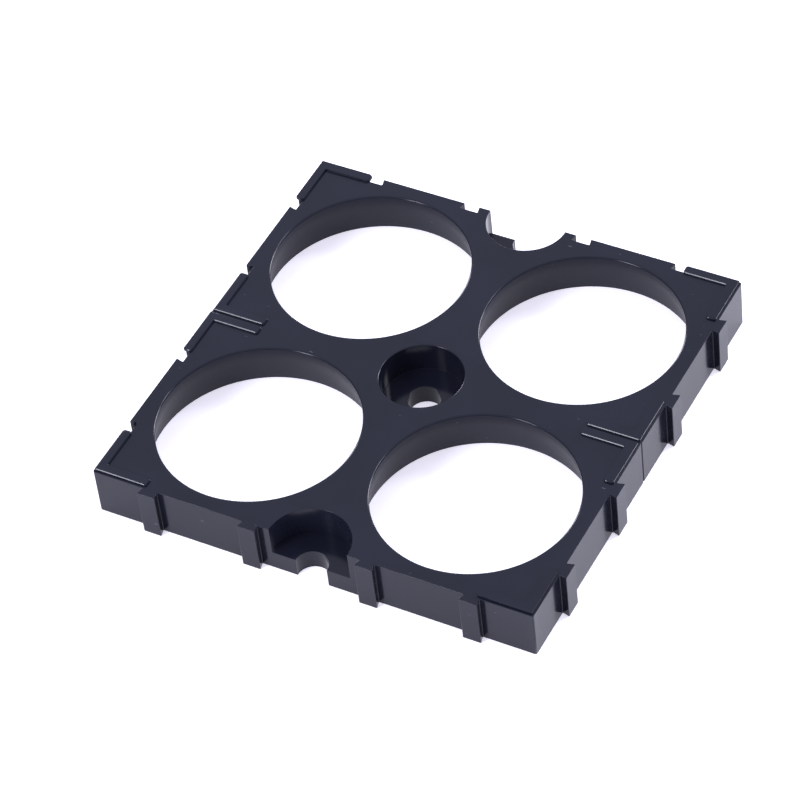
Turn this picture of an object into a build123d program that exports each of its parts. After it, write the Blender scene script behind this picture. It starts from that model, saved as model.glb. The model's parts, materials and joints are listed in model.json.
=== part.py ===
from build123d import *
import os

# Cell holder bracket for a block of two by two round cells, moulded in one piece.
# Millimetres. X runs right along the front edge, Y to the back, Z up from the underside.

# plate
PITCH = 35.0            # spacing of the cell centres
SIDE = 70.2             # outside of the square plate
THICK = 8.0             # underside to top face
CORNER_R = 0.3          # rounding of the four upright corners

# cell openings: a short straight land under the top rim, then a wall that flares to the underside
OPEN_D = 30.1           # land diameter, smaller than the cell
MOUTH_D = 34.0          # diameter at the underside, where the cell goes in
LAND = 1.2              # depth at which the flare starts
RIM = 0.35              # bevel that breaks the top rim

# screw places: one in the middle, a half one on the front edge and one on the back edge
SCREW_D = 5.0           # clearance hole
BORE_D = 12.5           # counterbore for the head or nut
FLOOR = 3.2             # plate left under the counterbore
BORE_RIM = 0.2          # bevel that breaks the counterbore's top rim

# dovetails, four to a side: tabs on the front and right, slots on the left and back
DOVE_AT = 8.15          # from a cell's centre line to each dovetail beside it
TAB_NECK = 2.3
TAB_WIDE = 2.9
TAB_OUT = 1.15
SLOT_MOUTH = 2.4
SLOT_WIDE = 3.0
SLOT_DEEP = 1.2

# raised corner ribs on the top face, one L at each outer cell corner
RIB_H = 0.35
RIB_W = 1.5
RIB_END = 8.8           # from a cell's centre line to the free end of each arm
RIB_INSET = 0.35        # how far the ribs stand back from the tab sides
RIB_EDGE = 0.1          # how far they stand back from the slot sides
RIB_GAP = 0.25          # how far they stand back from the line between two cells
RIB_R = 0.2             # rounding of the ribs' upright corners

half = SIDE / 2
cell = PITCH / 2
places = [-cell - DOVE_AT, -cell + DOVE_AT, cell - DOVE_AT, cell + DOVE_AT]


def bore_section(wall, rim):
    # half section of an opening through the top face: its wall, from the lowest point up, then the bevel
    radius = wall[-1][0]
    Polyline(
        (0, wall[0][1]), *wall, (radius, THICK - rim), (radius + rim, THICK),
        (radius + rim, THICK + 1), (0, THICK + 1), close=True,
    )


with BuildPart() as bracket:
    # square plate
    with BuildSketch(Plane.XY):
        RectangleRounded(SIDE, SIDE, CORNER_R)
    extrude(amount=THICK)

    # dovetail slots up through the left and back edges
    with BuildSketch(Plane.XY):
        for at in places:
            with BuildLine():
                Polyline(
                    (-half - 1, at - SLOT_MOUTH / 2), (-half, at - SLOT_MOUTH / 2),
                    (-half + SLOT_DEEP, at - SLOT_WIDE / 2), (-half + SLOT_DEEP, at + SLOT_WIDE / 2),
                    (-half, at + SLOT_MOUTH / 2), (-half - 1, at + SLOT_MOUTH / 2), close=True,
                )
            make_face()
            with BuildLine():
                Polyline(
                    (at - SLOT_MOUTH / 2, half + 1), (at - SLOT_MOUTH / 2, half),
                    (at - SLOT_WIDE / 2, half - SLOT_DEEP), (at + SLOT_WIDE / 2, half - SLOT_DEEP),
                    (at + SLOT_MOUTH / 2, half), (at + SLOT_MOUTH / 2, half + 1), close=True,
                )
            make_face()
    extrude(amount=THICK, mode=Mode.SUBTRACT)

    # dovetail tabs on the front and right edges, full height
    with BuildSketch(Plane.XY):
        for at in places:
            with BuildLine():
                Polyline(
                    (half - 1, at - TAB_NECK / 2), (half, at - TAB_NECK / 2),
                    (half + TAB_OUT, at - TAB_WIDE / 2), (half + TAB_OUT, at + TAB_WIDE / 2),
                    (half, at + TAB_NECK / 2), (half - 1, at + TAB_NECK / 2), close=True,
                )
            make_face()
            with BuildLine():
                Polyline(
                    (at - TAB_NECK / 2, -half + 1), (at - TAB_NECK / 2, -half),
                    (at - TAB_WIDE / 2, -half - TAB_OUT), (at + TAB_WIDE / 2, -half - TAB_OUT),
                    (at + TAB_NECK / 2, -half), (at + TAB_NECK / 2, -half + 1), close=True,
                )
            make_face()
    extrude(amount=THICK)

    # raised ribs: nearly flush with the slot sides, further back from the tab sides, and carried over
    # the slots, so that a neighbour's tab stops against them
    left = -half + RIB_EDGE
    back = half - RIB_EDGE
    right = half - RIB_INSET
    front = -half + RIB_INSET
    with BuildSketch(Plane.XY.offset(THICK)) as ribs:
        # arms along the left and right sides: front cell, then back cell
        for x in (left + RIB_W / 2, right - RIB_W / 2):
            for low, high in (
                (front, -cell - RIB_END), (-cell + RIB_END, -RIB_GAP),
                (RIB_GAP, cell - RIB_END), (cell + RIB_END, back),
            ):
                with Locations((x, (low + high) / 2)):
                    Rectangle(RIB_W, high - low)
        # arms along the front and back sides, at the outer corners only
        for y in (front + RIB_W / 2, back - RIB_W / 2):
            for low, high in ((left, -cell - RIB_END), (cell + RIB_END, right)):
                with Locations(((low + high) / 2, y)):
                    Rectangle(high - low, RIB_W)
        # pairs of arms on the line between the front and back cells
        for y in (-RIB_GAP - RIB_W / 2, RIB_GAP + RIB_W / 2):
            for low, high in ((left, -cell - RIB_END), (cell + RIB_END, right)):
                with Locations(((low + high) / 2, y)):
                    Rectangle(high - low, RIB_W)
        fillet(ribs.vertices(), radius=RIB_R)
    extrude(amount=RIB_H)

    # four cell openings
    for cx in (-cell, cell):
        for cy in (-cell, cell):
            with BuildSketch(Plane(origin=(cx, cy, 0), x_dir=(1, 0, 0), z_dir=(0, -1, 0))):
                with BuildLine():
                    bore_section([(MOUTH_D / 2, 0), (OPEN_D / 2, THICK - LAND)], RIM)
                make_face()
            revolve(axis=Axis((cx, cy, 0), (0, 0, 1)), mode=Mode.SUBTRACT)

    # counterbored screw places: middle, front edge and back edge
    for cy in (-PITCH, 0, PITCH):
        with BuildSketch(Plane.XZ.offset(-cy)):
            with BuildLine():
                bore_section([(BORE_D / 2, FLOOR)], BORE_RIM)
            make_face()
        revolve(axis=Axis((0, cy, 0), (0, 0, 1)), mode=Mode.SUBTRACT)
        with BuildSketch(Plane.XY):
            with Locations((0, cy)):
                Circle(SCREW_D / 2)
        extrude(amount=THICK, mode=Mode.SUBTRACT)

bracket.part.label = "cell_bracket"

os.makedirs("parts", exist_ok=True)
export_step(bracket.part, "parts/cell_bracket.step")
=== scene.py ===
"""Dresses the cell holder bracket: one moulded plate, its stage, lights and camera."""
import json
from math import asin, cos, pi, radians, sin, sqrt, tan

import bpy
import bmesh
from mathutils import Matrix, Vector
from mathutils.geometry import tessellate_polygon


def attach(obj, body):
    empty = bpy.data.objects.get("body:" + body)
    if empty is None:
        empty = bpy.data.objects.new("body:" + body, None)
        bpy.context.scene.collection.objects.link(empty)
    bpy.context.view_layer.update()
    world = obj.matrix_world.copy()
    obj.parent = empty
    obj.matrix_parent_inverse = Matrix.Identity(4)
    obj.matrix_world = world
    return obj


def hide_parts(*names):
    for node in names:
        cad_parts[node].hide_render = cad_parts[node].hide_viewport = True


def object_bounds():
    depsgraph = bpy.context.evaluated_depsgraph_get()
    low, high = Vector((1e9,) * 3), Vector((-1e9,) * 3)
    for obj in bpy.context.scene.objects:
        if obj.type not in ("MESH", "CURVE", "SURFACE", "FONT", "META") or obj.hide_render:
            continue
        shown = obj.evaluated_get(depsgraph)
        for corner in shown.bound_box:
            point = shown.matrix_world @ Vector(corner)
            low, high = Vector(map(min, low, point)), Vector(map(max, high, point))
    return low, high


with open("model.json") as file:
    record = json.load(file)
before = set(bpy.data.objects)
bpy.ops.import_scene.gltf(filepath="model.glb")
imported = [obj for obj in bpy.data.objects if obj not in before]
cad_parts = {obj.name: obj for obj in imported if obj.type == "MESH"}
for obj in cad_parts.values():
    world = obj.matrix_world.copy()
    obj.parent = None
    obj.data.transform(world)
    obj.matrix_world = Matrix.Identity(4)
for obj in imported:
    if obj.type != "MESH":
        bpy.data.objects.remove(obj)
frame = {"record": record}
CAD_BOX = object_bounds()

bl_info = {
    "name": "Cell holder bracket",
    "version": (1, 0, 0),
    "blender": (4, 5, 0),
    "location": "3D View > Sidebar > Bracket",
    "description": "Moulds a two by two cell holder plate and sets it in a studio",
    "category": "Object",
}

MM = 0.001
TURN = 2 * pi

# Roundings of upright edges, too small to measure
SOFT_R = 0.12 * MM  # roots of tabs and slots, bottoms of slots, corners of ribs
TAB_TIP_R = 0.09 * MM
RIB_END_R = 0.3 * MM

# How finely the curves are cut
CELL_SEGMENTS = 144
BORE_SEGMENTS = 96
NOTCH_STEPS = 48

CLOSE = 1e-7  # points nearer to each other than this, in metres, are one point
SLIVER = 1e-14  # a triangle whose doubled area, in square metres, is under this is left out


# ---------------------------------------------------------------- what the frame says

def mount(name):
    """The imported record's mount of that name."""
    return next(m for m in frame["record"]["mounts"] if m["name"] == name)


def radius(name):
    """A round mount's radius in metres."""
    return mount(name)["dims"]["r_mm"] * MM


def cell_centres():
    """Centres of the four cell openings in plan."""
    return [Vector(m["pos_m"][:2]) for m in frame["record"]["mounts"] if m["name"].startswith("cell_")]


def cell_offset():
    """From a middle line of the plate to the cells' centres on either side of it."""
    return mount("cell_back_right")["pos_m"][0]


def plate_thickness():
    """Underside to top face, as the tabs' mount is half way up the side."""
    return 2 * mount("front_tabs")["pos_m"][2]


# ---------------------------------------------------------------- properties

def length_property(name, description, default):
    """A length in metres."""
    return bpy.props.FloatProperty(name=name, description=description, default=default, unit="LENGTH")


class BracketSizes(bpy.types.PropertyGroup):
    """Sizes of the moulding, worked out from the frame where it states them."""
    half: length_property("Half side", "From the middle to a plain side", CAD_BOX[1][1])
    thick: length_property("Thickness", "Underside to top face", plate_thickness())
    mouth: length_property("Mouth radius", "Cell opening at the underside", 17.0 * MM)
    land: length_property("Land", "Depth at which a cell opening starts to flare", 1.2 * MM)
    blend: length_property("Land blend", "How far under the land the flare starts to bend", 1.1 * MM)
    rim: length_property("Rim rounding", "Rounding of the cell openings' top rims", 0.35 * MM)
    bore_rim: length_property("Counterbore rounding", "Rounding of the counterbores' top rims", 0.2 * MM)
    edge: length_property("Edge rounding", "Rounding of the plate's outer edges", 0.06 * MM)
    corner: length_property("Corner rounding", "Rounding of the upright corners", 0.3 * MM)
    bore_floor: length_property(
        "Counterbore floor", "Plate left under a counterbore",
        mount("middle_screw")["dims"]["length_mm"] * MM)
    dove_at: length_property(
        "Dovetail place", "From a cell's centre line to a dovetail",
        cell_offset() - mount("front_tabs")["pos_m"][0])
    tab_neck: length_property("Tab neck", "Tab width where it leaves the side", 2.3 * MM)
    tab_wide: length_property("Tab tip", "Tab width at its tip", 2.9 * MM)
    tab_out: length_property("Tab reach", "How far a tab stands out", CAD_BOX[1][0] - CAD_BOX[1][1])
    slot_mouth: length_property("Slot mouth", "Slot width at the side", 2.4 * MM)
    slot_wide: length_property("Slot bottom", "Slot width at its bottom", 3.0 * MM)
    slot_deep: length_property("Slot depth", "Depth of a slot", 1.2 * MM)
    rib_high: length_property("Rib height", "Height of the ribs", CAD_BOX[1][2] - plate_thickness())
    rib_wide: length_property("Rib width", "Width of the ribs", 1.5 * MM)
    rib_end: length_property("Rib end", "From a cell's centre line to a rib's free end", 8.8 * MM)
    rib_inset: length_property("Rib inset", "How far ribs stand back from the tab sides", 0.35 * MM)
    rib_gap: length_property("Rib gap", "How far ribs stand back from the middle line", 0.25 * MM)
    seam: length_property("Seam width", "Witness line of the inserts on the right side", 0.42 * MM)
    left_steps: bpy.props.FloatVectorProperty(
        name="Left steps", description="How far each left rib stands back, front to back: the mould's "
        "inserts don't quite line up", size=4, default=(0.13 * MM, 0.0, 0.16 * MM, 0.0), unit="LENGTH")
    left_bevels: bpy.props.FloatVectorProperty(
        name="Left bevels", description="How full each left rib's bevels are, front to back: newer "
        "inserts leave crisper edges", size=4, default=(1.0, 1.0, 1.0, 0.3))
    right_bevels: bpy.props.FloatVectorProperty(
        name="Right bevels", description="How full each right rib's bevels are, front to back",
        size=4, default=(0.1, 1.0, 1.0, 1.0))


class BracketStudio(bpy.types.PropertyGroup):
    """Colours, lights and the camera."""
    abs_black: bpy.props.StringProperty(
        name="ABS", description="Moulded black ABS, as sRGB hex", default="#161824")
    floor_colour: bpy.props.StringProperty(
        name="Floor", description="Floor sheet, as sRGB hex", default="#FBFAFC")
    sky: bpy.props.FloatProperty(
        name="Room light", description="Strength of the white room overhead", default=1.1)
    glow: bpy.props.FloatProperty(
        name="Floor glow", description="Light that the floor sheet gives off", default=0.55)
    azimuth: bpy.props.FloatProperty(
        name="Azimuth", description="Camera's way round from the front, towards the right",
        default=radians(32.52), subtype="ANGLE")
    elevation: bpy.props.FloatProperty(
        name="Elevation", description="Camera's angle above the floor", default=radians(45.71),
        subtype="ANGLE")
    roll: bpy.props.FloatProperty(
        name="Roll", description="Camera's tilt about its own axis", default=radians(-7.23),
        subtype="ANGLE")
    distance: length_property("Distance", "Camera to the point it looks at", 561.75 * MM)
    aim: bpy.props.FloatVectorProperty(
        name="Aim", description="The point the camera looks at",
        default=(-1.803 * MM, -3.762 * MM, 5.851 * MM), subtype="TRANSLATION")
    lens: bpy.props.FloatProperty(
        name="Lens", description="Focal length in millimetres on a 36 mm sensor", default=174.39)


def linear(hex_colour):
    """sRGB hex to linear RGBA."""
    values = [int(hex_colour[i:i + 2], 16) / 255 for i in (1, 3, 5)]
    return [v / 12.92 if v <= 0.04045 else ((v + 0.055) / 1.055) ** 2.4 for v in values] + [1.0]


# ---------------------------------------------------------------- outlines in plan

def rounded(points, steps=4):
    """An anticlockwise outline of (x, y, r) corners with each corner rounded over the reach of its r."""
    out = []
    for i, (x, y, r) in enumerate(points):
        here = Vector((x, y))
        if r <= 0:
            out.append(here)
            continue
        before = Vector(points[i - 1][:2]) - here
        after = Vector(points[(i + 1) % len(points)][:2]) - here
        turn = pi - before.angle(after)
        # Under half of either side, so that neighbouring roundings never meet
        reach = min(r * tan(turn / 2), 0.45 * before.length, 0.45 * after.length)
        a = here + before.normalized() * reach
        b = here + after.normalized() * reach
        # How hard the corner pulls on the curve. cos(turn / 2) would make it a true arc
        pull = 0.5 / cos(turn / 4) ** 2
        for k in range(steps + 1):
            t = k / steps
            w0, w1, w2 = (1 - t) ** 2, 2 * t * (1 - t) * pull, t ** 2
            out.append((a * w0 + here * w1 + b * w2) / (w0 + w1 + w2))
    return out


def inset(outline, amount):
    """The anticlockwise outline moved inwards by amount, corner by corner."""
    out = []
    count = len(outline)
    for i, p in enumerate(outline):
        back = i - 1
        while (p - outline[back]).length < CLOSE:
            back -= 1
        ahead = (i + 1) % count
        while (outline[ahead] - p).length < CLOSE:
            ahead = (ahead + 1) % count
        arrives = (p - outline[back]).normalized()
        leaves = (outline[ahead] - p).normalized()
        inwards = Vector((-arrives.y - leaves.y, arrives.x + leaves.x))
        # The lower bound keeps the sharpest corners from shooting inwards
        out.append(p + inwards * (amount * 2 / max(inwards.length_squared, 0.8)))
    return out


def dovetail(at, root, tip, out, tip_r):
    """Corners of a dovetail as (along, outward, r). An out below nought makes it a slot."""
    return [(at - root / 2, 0, SOFT_R), (at - tip / 2, out, tip_r),
            (at + tip / 2, out, tip_r), (at + root / 2, 0, SOFT_R)]


def tab(s, at):
    """Corners of the dovetail tab at that place along a side."""
    return dovetail(at, s.tab_neck, s.tab_wide, s.tab_out, TAB_TIP_R)


def slot(s, at):
    """Corners of the dovetail slot at that place along a side."""
    return dovetail(at, s.slot_mouth, s.slot_wide, -s.slot_deep, SOFT_R)


def notch(r, guard, depth):
    """Corners of a round notch in the middle of a side, whose centre lies depth inside the side.

    The guard points at its ends are in the same place for any r.
    """
    start = asin(depth / r)
    arc = []
    for k in range(NOTCH_STEPS + 1):
        a = pi - start + (pi + 2 * start) * k / NOTCH_STEPS
        arc.append((r * cos(a), r * sin(a) - depth, 0))
    return [(-guard, 0, 0)] + arc + [(guard, 0, 0)]


def plate_outline(s, notch_r):
    """The plate's outline, with notches of that radius in the front and back sides."""
    cell = cell_offset()
    at = (-cell - s.dove_at, -cell + s.dove_at, cell - s.dove_at, cell + s.dove_at)
    depth = s.half - 2 * cell
    guard = sqrt(radius("middle_counterbore") ** 2 - depth ** 2)
    half_round = notch(notch_r, guard, depth)
    seam_deep = 0.6 * s.seam
    groove = [(-s.seam / 2, 0, 0), (0, -seam_deep, 0), (s.seam / 2, 0, 0)]

    def side(dove, middle):
        """One side's corners: two dovetails, what is in the middle, and two more dovetails."""
        return dove(s, at[0]) + dove(s, at[1]) + middle + dove(s, at[2]) + dove(s, at[3])

    h = s.half
    corners = [(-h, -h, s.corner)]
    corners += [(a, -h - d, r) for a, d, r in side(tab, half_round)] + [(h, -h, s.corner)]
    corners += [(h + d, a, r) for a, d, r in side(tab, groove)] + [(h, h, s.corner)]
    corners += [(-a, h + d, r) for a, d, r in side(slot, half_round)] + [(-h, h, s.corner)]
    corners += [(-h - d, -a, r) for a, d, r in side(slot, [])]
    return rounded(corners)


def rib_outlines(s, outer_x, inner_x, all_y):
    """The eight L-shaped ribs: one in each corner, and a pair midway along the left and right sides.

    Each amount moves some of a rib's sides inwards. outer_x is for the outer sides that face along X,
    and all_y for all sides and free ends that face along Y; both are times the rib's fullness.
    inner_x is for the left ribs' inner sides and free ends that face along X.
    """
    cell = cell_offset()
    # Where the ribs start and end along Y, and which way they run from the start
    runs = ((-s.half + s.rib_inset, -cell - s.rib_end, 1), (-s.rib_gap, -cell + s.rib_end, -1),
            (s.rib_gap, cell - s.rib_end, 1), (s.half, cell + s.rib_end, -1))
    sides = ((-1, inner_x, s.left_steps, s.left_bevels), (1, 0, [s.rib_inset] * 4, s.right_bevels))
    ells = []
    for x_side, lean, stands, fullness in sides:
        tip = x_side * (cell + s.rib_end + lean)
        for (start, end, turn), stand, full in zip(runs, stands, fullness):
            x = x_side * (s.half - stand - outer_x * full)
            y_from = start + turn * all_y * full
            y_to = end - turn * all_y * full
            x_inner = x - x_side * (s.rib_wide - lean - outer_x * full)
            y_inner = y_from + turn * (s.rib_wide - 2 * all_y * full)
            ell = [(x, y_from, SOFT_R), (tip, y_from, RIB_END_R), (tip, y_inner, RIB_END_R),
                   (x_inner, y_inner, SOFT_R), (x_inner, y_to, RIB_END_R), (x, y_to, RIB_END_R)]
            if x_side * turn > 0:
                ell.reverse()  # back to anticlockwise
            ells.append(rounded(ell, 5))
    return ells


# ---------------------------------------------------------------- mesh work

def ring(bm, outline, z):
    """A closed ring of vertices on a plan outline at height z."""
    return [bm.verts.new((p.x, p.y, z)) for p in outline]


def skin(bm, low, high):
    """Quads between two rings with as many vertices each. Anticlockwise rings make them face outwards."""
    count = len(low)
    for i in range(count):
        j = (i + 1) % count
        bm.faces.new((low[i], low[j], high[j], high[i]))


def cap(bm, rings, up):
    """Fills the flat area between an outer ring and the rings of its holes, facing up or down."""
    loops = [[v.co for v in r] for r in rings]
    flat = [v for r in rings for v in r]
    for tri in tessellate_polygon(loops):
        corners = [flat[i] for i in tri]
        a, b, c = (v.co for v in corners)
        turn = (b - a).cross(c - a).z
        if abs(turn) < SLIVER:
            continue
        bm.faces.new(corners if (turn > 0) == up else corners[::-1])


def bored(bm, centre, profile, segments):
    """A hole's wall turned about an upright axis, from a profile of (r, z) that runs upwards."""
    rings = []
    for r, z in profile:
        turned = [centre + Vector((cos(TURN * k / segments), sin(TURN * k / segments))) * r
                  for k in range(segments)]
        rings.append(ring(bm, turned, z))
    for low, high in zip(rings, rings[1:]):
        skin(bm, high, low)  # upside down, so that the wall faces the axis
    return rings


def quarter(r, z, size, steps=4):
    """Profile of a rounded rim that opens from a wall at r up to the face at height z."""
    out = []
    for k in range(steps + 1):
        a = pi / 2 * k / steps
        out.append((r + size * (1 - cos(a)), z - size * (1 - sin(a))))
    return out


def foot(size, steps=2):
    """Profile of a rounded foot as (sideways, up), from the face at height 0 up to the wall."""
    return [(sideways, -down) for sideways, down in reversed(quarter(0, 0, size, steps))]


def cell_profile(s):
    """Wall of a cell opening from the underside up: foot, flare, blended land, rounded rim."""
    r = radius("cell_front_left")
    start = s.thick - s.land
    slope = (s.mouth - r) / start
    below = Vector((r + slope * s.blend, start - s.blend))
    bend = Vector((r, start))
    above = Vector((r, start + 0.6 * s.blend))  # the bend is shorter on the land's side
    blended = [tuple(below.lerp(bend, t).lerp(bend.lerp(above, t), t)) for t in (0, 0.25, 0.5, 0.75, 1)]
    # Rings part of the way up keep the flare's faces short
    flare = [(s.mouth - slope * z, z) for z in (1.5 * MM, 3.0 * MM, 4.5 * MM)]
    edge = [(s.mouth + out - slope * up, up) for out, up in foot(0.8 * s.edge)]
    return edge + flare + blended + quarter(r, s.thick, s.rim, 6)


def screw_profile(s):
    """Wall of the middle screw place from the underside up: clearance hole, floor, counterbore, rim."""
    hole, bore = radius("middle_screw"), radius("middle_counterbore")
    hole_edge, web = 0.05 * MM, 0.06 * MM
    edge = [(hole + out, up) for out, up in foot(hole_edge, 1)]
    lip = quarter(hole, s.bore_floor, hole_edge, 2)
    fillet = [(bore - back, s.bore_floor + up) for back, up in foot(web)]
    return edge + lip + fillet + quarter(bore, s.thick, s.bore_rim)


def mould_plate(bm, s):
    """The plate with its notches, cell openings and middle screw place."""
    narrow = plate_outline(s, radius("middle_screw"))
    wide = plate_outline(s, radius("middle_counterbore"))
    levels = [(narrow, amount, z) for amount, z in foot(s.edge)]
    levels += [(narrow, 0, s.bore_floor), (wide, 0, s.bore_floor)]
    levels += [(wide, amount, z) for amount, z in quarter(0, s.thick, s.edge)]
    rings = [ring(bm, inset(outline, amount), z) for outline, amount, z in levels]
    for below, above in zip(rings, rings[1:]):
        skin(bm, below, above)
    holes = [bored(bm, centre, cell_profile(s), CELL_SEGMENTS) for centre in cell_centres()]
    holes.append(bored(bm, Vector((0, 0)), screw_profile(s), BORE_SEGMENTS))
    cap(bm, [rings[-1]] + [hole[-1] for hole in holes], True)
    cap(bm, [rings[0]] + [hole[0] for hole in holes], False)


def mark_machined_walls(bm, s):
    """Gives the walls of the cell openings, below their rims, the second material."""
    for face in bm.faces:
        middle = face.calc_center_median()
        lies_flat = abs(face.normal.z) > 0.99
        if lies_flat or middle.z > s.thick - s.rim:
            continue
        if any((middle.xy - centre).length < s.mouth + s.edge for centre in cell_centres()):
            face.material_index = 1


def mould_ribs(bm, s):
    """The raised ribs, let a little way into the top face.

    Their outer sides that face along X have a flat bevel, and those that face along Y a 45 degree one.
    The left ribs' inner sides that face along X slope.
    """
    top = s.thick + s.rib_high
    root = 0.1 * MM
    bevel_deep, flat_bevel_wide = 0.1 * MM, 0.18 * MM
    slope_deep, slope_wide = 0.3 * MM, 0.18 * MM
    slope_at_bevel = slope_wide * (1 - bevel_deep / slope_deep)
    # rib_outlines' three amounts and the height
    levels = (
        (0, 0, 0, s.thick - root), (0, 0, 0, top - slope_deep),
        (0, slope_at_bevel, 0, top - bevel_deep), (flat_bevel_wide, slope_wide, bevel_deep, top),
    )
    stacks = [[ring(bm, ell, z) for ell in rib_outlines(s, *amounts)] for *amounts, z in levels]
    for rings in zip(*stacks):
        for below, above in zip(rings, rings[1:]):
            skin(bm, below, above)
        cap(bm, [rings[-1]], True)
        cap(bm, [rings[0]], False)


def finished(name, bm, materials):
    """Turns a bmesh into an object with smooth curves and crisp edges."""
    bmesh.ops.remove_doubles(bm, verts=bm.verts, dist=CLOSE)
    bmesh.ops.dissolve_degenerate(bm, edges=bm.edges, dist=CLOSE)
    mesh = bpy.data.meshes.new(name)
    bm.to_mesh(mesh)
    bm.free()
    mesh.shade_smooth()
    mesh.set_sharp_from_angle(angle=radians(40))
    for material in materials:
        mesh.materials.append(material)
    obj = bpy.data.objects.new(name, mesh)
    bpy.context.scene.collection.objects.link(obj)
    even = obj.modifiers.new("Even normals", "WEIGHTED_NORMAL")
    even.keep_sharp = True
    even.weight = 100
    return obj


# ---------------------------------------------------------------- materials

def add_node(tree, kind, settings=None, links=None, **values):
    """Adds a node, sets its settings and its inputs, and links its inputs to other nodes' outputs."""
    node = tree.nodes.new(kind)
    for key, value in (settings or {}).items():
        setattr(node, key, value)
    for key, value in values.items():
        node.inputs[key.replace("_", " ")].default_value = value
    for key, output in (links or {}).items():
        tree.links.new(output, node.inputs[key])
    return node


def moulded_black_abs(finish, colour, smooth, dull, gloss):
    """Injection-moulded black ABS, whose roughness wanders between smooth and dull."""
    material = bpy.data.materials.new("Moulded black ABS, " + finish)
    material.use_nodes = True
    tree = material.node_tree
    tree.nodes.clear()
    place = add_node(tree, "ShaderNodeTexCoord").outputs["Object"]

    # The melt cools unevenly round the openings, which leaves cloudy patches about 12 mm across
    clouds = add_node(tree, "ShaderNodeTexNoise", links={"Vector": place},
                      Scale=1 / (12 * MM), Detail=3.0, Roughness=0.55)
    # Fine spark-erosion grain of the mould, drawn at 0.35 mm so that it shows
    grain = add_node(tree, "ShaderNodeTexNoise", links={"Vector": place},
                     Scale=1 / (0.35 * MM), Detail=2.0, Roughness=0.6)
    # Shallow waviness of the flat faces, about 5 mm from crest to crest
    waves = add_node(tree, "ShaderNodeTexNoise", links={"Vector": place},
                     Scale=1 / (5 * MM), Detail=1.0, Roughness=0.4)

    # Rubbing against other plates leaves a few pale marks, each about 1.5 mm by 0.4 mm
    rub = add_node(tree, "ShaderNodeMapping", links={"Vector": place},
                   Scale=(1 / (1.5 * MM), 1 / (0.4 * MM), 1 / (0.4 * MM)))
    marks = add_node(tree, "ShaderNodeTexNoise", links={"Vector": rub.outputs["Vector"]},
                     Scale=1.0, Detail=0.0)
    scuff = add_node(tree, "ShaderNodeMapRange", links={"Value": marks.outputs["Fac"]},
                     **{"From Min": 0.85, "From Max": 0.95})

    rough = add_node(tree, "ShaderNodeMapRange", links={"Value": clouds.outputs["Fac"]},
                     **{"From Min": 0.3, "From Max": 0.7, "To Min": smooth, "To Max": dull})
    # The clouds also vary the black by 15% either way
    shade = add_node(tree, "ShaderNodeValToRGB", links={"Fac": clouds.outputs["Fac"]})
    base = linear(colour)[:3]
    for stop, position, share in zip(shade.color_ramp.elements, (0.3, 0.7), (0.85, 1.15)):
        stop.position = position
        stop.color = [c * share for c in base] + [1]

    # The mix's colour sockets have the same names as its number ones, so they go by place
    tone = add_node(tree, "ShaderNodeMix", {"data_type": "RGBA"})
    tree.links.new(scuff.outputs["Result"], tone.inputs[0])
    tree.links.new(shade.outputs["Color"], tone.inputs[6])
    tone.inputs[7].default_value = linear("#5C5C68")

    wavy = add_node(tree, "ShaderNodeBump", links={"Height": waves.outputs["Fac"]},
                    Strength=0.25, Distance=0.05 * MM)
    grainy = add_node(tree, "ShaderNodeBump",
                      links={"Height": grain.outputs["Fac"], "Normal": wavy.outputs["Normal"]},
                      Strength=0.25, Distance=0.012 * MM)
    surface = add_node(
        tree, "ShaderNodeBsdfPrincipled",
        links={"Base Color": tone.outputs[2], "Roughness": rough.outputs["Result"],
               "Normal": grainy.outputs["Normal"]},
        IOR=1.5, Metallic=0.0, Specular_IOR_Level=gloss)
    add_node(tree, "ShaderNodeOutputMaterial", links={"Surface": surface.outputs["BSDF"]})
    return material


def opal_acrylic(colour, glow):
    """Opal acrylic sheet lit from below: it drowns shadows, all but a faint cool one at the contact."""
    material = bpy.data.materials.new("Backlit opal acrylic")
    material.use_nodes = True
    tree = material.node_tree
    tree.nodes.clear()
    surface = add_node(tree, "ShaderNodeBsdfPrincipled", Roughness=1.0, IOR=1.45,
                       Specular_IOR_Level=0.0, Emission_Strength=glow)
    surface.inputs["Base Color"].default_value = linear(colour)
    surface.inputs["Emission Color"].default_value = linear("#F6F2FF")
    add_node(tree, "ShaderNodeOutputMaterial", links={"Surface": surface.outputs["BSDF"]})
    return material


# ---------------------------------------------------------------- stage, lights and camera

# Name, place and size in metres, watts and colour. The camera sees each one in some sloping edges
SOFTBOXES = (
    # In the 45 degree bevels that face the front
    ("Left softbox", (-0.45, -0.86, 0.71), (0.3, 0.3), 7.0, "#EEF0FF"),
    # Where the openings' rims slope about 40 degrees down towards the right
    ("Back softbox", (0.50, 1.04, 0.34), (0.5, 0.4), 11.0, "#F4F4FF"),
    # In the flat bevels, of about 30 degrees, that face right
    ("Right softbox", (0.52, 0.71, 0.82), (0.24, 0.24), 3.5, "#EEF0FF"),
    # Where the openings' rims slope about 22 degrees down towards the left
    ("Low softbox", (-0.90, 0.71, 0.28), (0.24, 0.36), 5.0, "#EEF0FF"),
)


def softbox(name, place, size, power, colour):
    """A rectangular area light that faces the middle of the bracket."""
    light = bpy.data.lights.new(name, "AREA")
    light.shape = "RECTANGLE"
    light.size, light.size_y = size
    light.energy = power
    light.color = linear(colour)[:3]
    obj = bpy.data.objects.new(name, light)
    obj.location = place
    obj.rotation_euler = (-Vector(place)).to_track_quat("-Z", "Y").to_euler()
    bpy.context.scene.collection.objects.link(obj)


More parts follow.
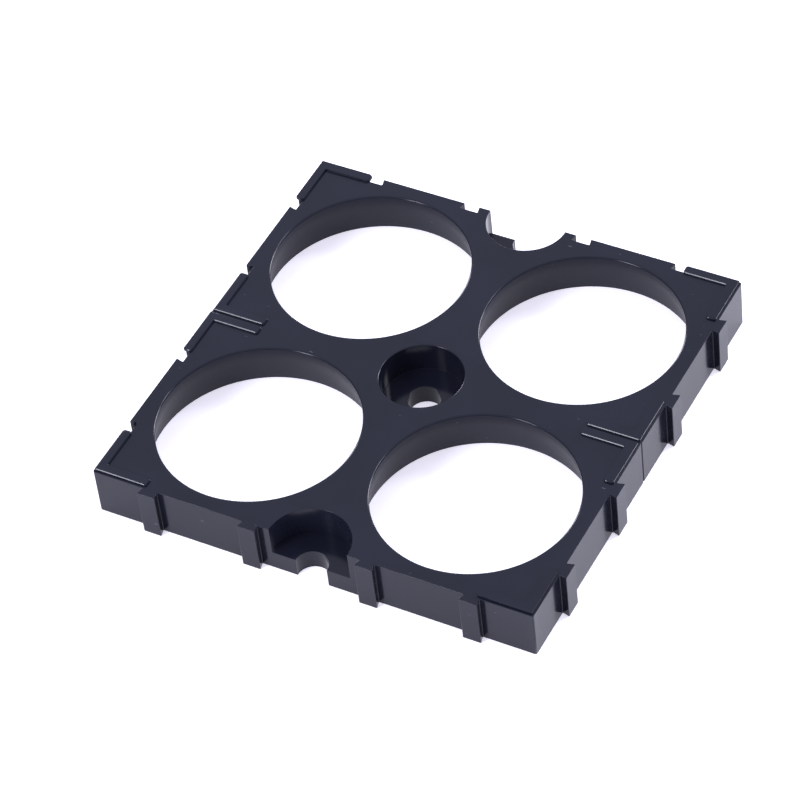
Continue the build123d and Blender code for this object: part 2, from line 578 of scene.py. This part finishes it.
def lay_floor(colour, glow):
    """A wide sheet just under the plate, so that the two never share a plane."""
    bm = bmesh.new()
    bmesh.ops.create_grid(bm, x_segments=1, y_segments=1, size=3.0)
    mesh = bpy.data.meshes.new("floor")
    bm.to_mesh(mesh)
    bm.free()
    mesh.materials.append(opal_acrylic(colour, glow))
    floor = bpy.data.objects.new("floor", mesh)
    floor.location.z = -0.02 * MM
    bpy.context.scene.collection.objects.link(floor)


def white_room(strength):
    """A white room that is dimmer towards the horizon, so that low reflections stay quiet."""
    world = bpy.data.worlds.new("White room")
    world.use_nodes = True
    tree = world.node_tree
    room = tree.nodes["Background"]
    room.inputs["Color"].default_value = linear("#E9EBFF")
    way = add_node(tree, "ShaderNodeTexCoord").outputs["Generated"]
    height = add_node(tree, "ShaderNodeSeparateXYZ", links={"Vector": way}).outputs["Z"]
    fade = add_node(tree, "ShaderNodeMapRange", links={"Value": height},
                    **{"From Min": 0.1, "From Max": 0.65, "To Min": 0.4 * strength, "To Max": strength})
    tree.links.new(fade.outputs["Result"], room.inputs["Strength"])
    return world


def studio_camera(studio):
    """A camera that looks at the aim point from the studio's azimuth, elevation and distance."""
    azimuth, elevation, roll = studio.azimuth, studio.elevation, studio.roll
    back = Vector((sin(azimuth) * cos(elevation), -cos(azimuth) * cos(elevation), sin(elevation)))
    right = Vector((cos(azimuth), sin(azimuth), 0))
    up = back.cross(right)
    turned_right = right * cos(roll) + up * sin(roll)
    turned_up = up * cos(roll) - right * sin(roll)
    turn = Matrix((turned_right, turned_up, back)).transposed()
    camera = bpy.data.cameras.new("Camera")
    camera.lens = studio.lens
    camera.sensor_width = 36.0
    camera.clip_start, camera.clip_end = 0.01, 20.0
    obj = bpy.data.objects.new("Camera", camera)
    obj.matrix_world = Matrix.Translation(Vector(studio.aim) + back * studio.distance) @ turn.to_4x4()
    bpy.context.scene.collection.objects.link(obj)
    return obj


# ---------------------------------------------------------------- operators and panel

class BRACKET_OT_moulding(bpy.types.Operator):
    """Moulds the plate and its ribs in place of the plain solid"""
    bl_idname = "bracket.moulding"
    bl_label = "Moulding"

    def execute(self, context):
        sizes = context.scene.bracket_sizes
        bm = bmesh.new()
        mould_plate(bm, sizes)
        bm.normal_update()
        mark_machined_walls(bm, sizes)
        mould_ribs(bm, sizes)
        # Polished cavity steel leaves the outer faces glossy enough to mirror the tabs and the floor.
        # The cores that shape the cell openings are only machined, so those walls are duller.
        black = context.scene.bracket_studio.abs_black
        piece = finished("cell_bracket_moulding", bm, [
            moulded_black_abs("polished", black, smooth=0.13, dull=0.19, gloss=0.26),
            moulded_black_abs("machined", black, smooth=0.46, dull=0.54, gloss=0.15)])
        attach(piece, "root")
        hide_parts("cell_bracket")
        return {"FINISHED"}


class BRACKET_OT_stage(bpy.types.Operator):
    """Sets the floor, the room, the soft lights and the camera"""
    bl_idname = "bracket.stage"
    bl_label = "Stage"

    def execute(self, context):
        studio = context.scene.bracket_studio
        lay_floor(studio.floor_colour, studio.glow)
        for box in SOFTBOXES:
            softbox(*box)
        context.scene.world = white_room(studio.sky)
        context.scene.camera = studio_camera(studio)
        context.scene.view_settings.view_transform = "Standard"
        return {"FINISHED"}


class BRACKET_PT_build(bpy.types.Panel):
    """Lists the bracket's operators, its sizes and its studio"""
    bl_label = "Cell holder bracket"
    bl_space_type = "VIEW_3D"
    bl_region_type = "UI"
    bl_category = "Bracket"

    def draw(self, context):
        for operator in (BRACKET_OT_moulding, BRACKET_OT_stage):
            self.layout.operator(operator.bl_idname)
        for group in (context.scene.bracket_sizes, context.scene.bracket_studio):
            column = self.layout.column(align=True)
            for name in group.__annotations__:
                column.prop(group, name)


CLASSES = (BracketSizes, BracketStudio, BRACKET_OT_moulding, BRACKET_OT_stage, BRACKET_PT_build)


def register():
    for cls in CLASSES:
        bpy.utils.register_class(cls)
    bpy.types.Scene.bracket_sizes = bpy.props.PointerProperty(type=BracketSizes)
    bpy.types.Scene.bracket_studio = bpy.props.PointerProperty(type=BracketStudio)


def unregister():
    del bpy.types.Scene.bracket_sizes
    del bpy.types.Scene.bracket_studio
    for cls in reversed(CLASSES):
        bpy.utils.unregister_class(cls)


def main():
    """Builds everything."""
    register()
    bpy.ops.bracket.moulding()
    bpy.ops.bracket.stage()
    bpy.context.view_layer.update()


if __name__ == "__main__":
    main()
